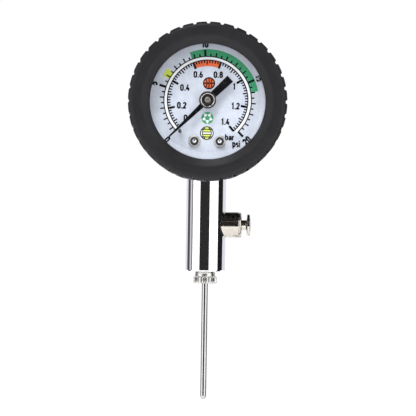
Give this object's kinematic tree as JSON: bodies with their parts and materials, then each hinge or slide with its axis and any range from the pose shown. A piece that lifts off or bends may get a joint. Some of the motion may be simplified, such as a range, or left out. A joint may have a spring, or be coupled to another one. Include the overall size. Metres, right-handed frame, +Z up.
{
  "type": "ball pressure gauge",
  "caption": "Hand-held dial gauge in a rubber tread boot, with a push-button bleed valve on its stem and a screw-in needle for checking a ball's pressure.",
  "frame": {"origin": "on the stem's axis, at the needle's shoulder where the bare needle meets its knurled head", "axes": "+Z up the stem to the gauge head, -Y out of the dial towards the reader, +X along the bleed valve towards its button"},
  "size_m": [0.05, 0.0285, 0.1197],
  "materials": {
    "boot": "matte tread rubber",
    "case": "black lacquered steel cup",
    "bezel": "black crimped ring",
    "lens": "clear window",
    "black_rubber": "plain seal rubber",
    "dial": "silver satin dial, printed scales",
    "chrome": "polished chrome",
    "nickel": "bright nickel",
    "steel": "plain steel",
    "brass": "machined brass",
    "bronze": "phosphor bronze",
    "pointer_black": "black lacquer",
    "cap_black": "black hub cap",
    "fibre": "red vulcanised fibre"
  },
  "bodies": {
    "housing": {"rubber_boot": "boot", "gauge_case": "case", "bezel_ring": "bezel", "lens": "lens", "lens_gasket": "black_rubber", "dial_plate": "dial", "pointer_stop_pin": "nickel", "dial_screw_left": "chrome", "dial_post_left": "brass", "dial_screw_right": "chrome", "dial_post_right": "brass", "movement_front_plate": "brass", "movement_back_plate": "brass", "hairspring": "bronze", "hairspring_stud": "brass", "bourdon_tube": "bronze", "socket_block": "brass", "case_screw_left": "steel", "case_screw_right": "steel", "blowout_plug": "black_rubber", "stem_tube": "chrome", "socket_seal": "fibre", "valve_housing": "nickel", "valve_gasket": "black_rubber", "valve_spring": "steel", "spring_retainer": "brass", "movement_pillar_1": "brass", "movement_screw_1": "steel", "movement_pillar_2": "brass", "movement_screw_2": "steel", "movement_pillar_3": "brass", "movement_screw_3": "steel"},
    "pointer": {"pointer": "pointer_black", "pointer_cap": "cap_black", "hub_ring": "nickel", "hub_bush": "nickel", "pinion_shaft": "steel"},
    "sector": {"sector_gear": "brass", "sector_arbor": "steel", "tail_pin": "steel"},
    "link": {"link": "brass"},
    "bourdon_end": {"bourdon_tip": "brass", "tip_pin": "steel"},
    "button": {"release_button": "nickel", "valve_rod": "brass", "valve_seal": "black_rubber"},
    "needle_seat": {"needle_washer": "black_rubber"},
    "needle": {"needle_head": "nickel", "needle_tube": "steel"}
  },
  "joints": [
    {"name": "pointer_turn", "type": "hinge", "parent": "housing", "child": "pointer", "pos_m": [0, -0.0095, 0.05815], "axis": [0, 1, 0], "range_deg": [0, 270], "stiffness_Nm_per_rad": 0.00005, "springref_deg": -20.05, "deforming": ["hairspring"]},
    {"name": "sector_turn", "type": "hinge", "parent": "housing", "child": "sector", "pos_m": [0.00617, -0.0052, 0.0508], "axis": [0, -1, 0], "range_deg": [0, 38.6]},
    {"name": "bourdon_flex", "type": "hinge", "parent": "housing", "child": "bourdon_end", "pos_m": [-0.00193, 0.004, 0.05411], "axis": [0, -1, 0], "range_deg": [0, 9.1], "deforming": ["bourdon_tube"]},
    {"name": "link_swing", "type": "hinge", "parent": "sector", "child": "link", "pos_m": [0.00866, -0.00415, 0.05004], "axis": [0, 1, 0], "range_deg": [0, 34.2]},
    {"name": "button_press", "type": "slide", "parent": "housing", "child": "button", "axis": [-1, 0, 0], "range_m": [0, 0.0014], "stiffness_N_per_m": 1500, "springref_m": -0.001, "deforming": ["valve_spring"]},
    {"name": "needle_advance", "type": "slide", "parent": "housing", "child": "needle_seat", "axis": [0, 0, -1], "range_m": [0, 0.0056]},
    {"name": "needle_unscrew", "type": "hinge", "parent": "needle_seat", "child": "needle", "pos_m": [0, 0, 0], "axis": [0, 0, -1], "range_deg": [0, 2530]}
  ],
  "couplings": [
    {"joint": "sector_turn", "follows": "pointer_turn", "ratio": 0.14286},
    {"joint": "bourdon_flex", "follows": "pointer_turn", "ratio": 0.033339},
    {"joint": "link_swing", "follows": "pointer_turn", "ratio": 0.12614},
    {"joint": "needle_unscrew", "follows": "needle_advance", "rad_per_m": 7854}
  ]
}
